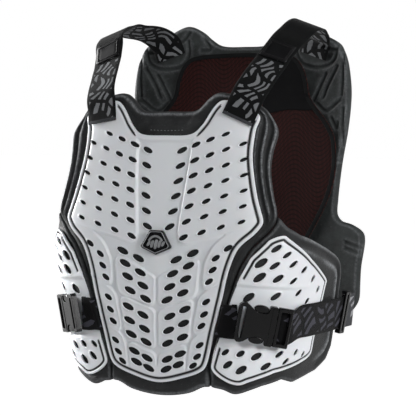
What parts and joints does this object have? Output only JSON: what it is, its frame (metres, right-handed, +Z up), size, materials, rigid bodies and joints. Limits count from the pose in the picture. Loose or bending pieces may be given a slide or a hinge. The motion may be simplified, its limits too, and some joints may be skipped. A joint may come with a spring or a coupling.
{
  "type": "roost deflector",
  "caption": "Motocross chest and back protector: vented moulded shells on foam at the front and sides, a lined back pad, shoulder straps and side-release waist buckles, fastened.",
  "frame": {"origin": "midway between the two shoulder straps' crests, at the height of their undersides, where the wearer's shoulders carry the protector", "axes": "+X towards the right as seen from the front, front towards -Y, +Z up"},
  "size_m": [0.3938, 0.2794, 0.496],
  "materials": {
    "shell": "white injection-moulded polypropylene, semi-gloss",
    "foam": "dark grey moulded EVA foam, matt",
    "back_foam": "grey moulded EVA foam, matt",
    "knit": "warp-knit spacer mesh in dark red and black, with a waved pattern",
    "tape": "black woven binding tape",
    "webbing": "black jacquard webbing with a grey abstract pattern",
    "tab": "smooth black rubberised patch with a pressed border",
    "acetal": "black acetal, satin",
    "badge": "black moulded plastic with a satin raised border"
  },
  "bodies": {
    "root": {"front_foam": "foam", "front_plate": "shell", "badge": "badge", "back_foam": "back_foam", "back_lining": "knit", "lining_binding": "tape", "lining_panel": "tape", "side_foam_left": "foam", "side_plate_left": "shell", "shoulder_strap_left": "webbing", "strap_tab_left": "tab", "waist_strap_front_left": "webbing", "buckle_socket_left": "acetal", "buckle_plug_left": "acetal", "waist_strap_rear_left": "webbing", "strap_slider_left": "acetal", "side_foam_right": "foam", "side_plate_right": "shell", "shoulder_strap_right": "webbing", "strap_tab_right": "tab", "waist_strap_front_right": "webbing", "buckle_socket_right": "acetal", "buckle_plug_right": "acetal", "waist_strap_rear_right": "webbing", "strap_slider_right": "acetal"}
  },
  "joints": []
}
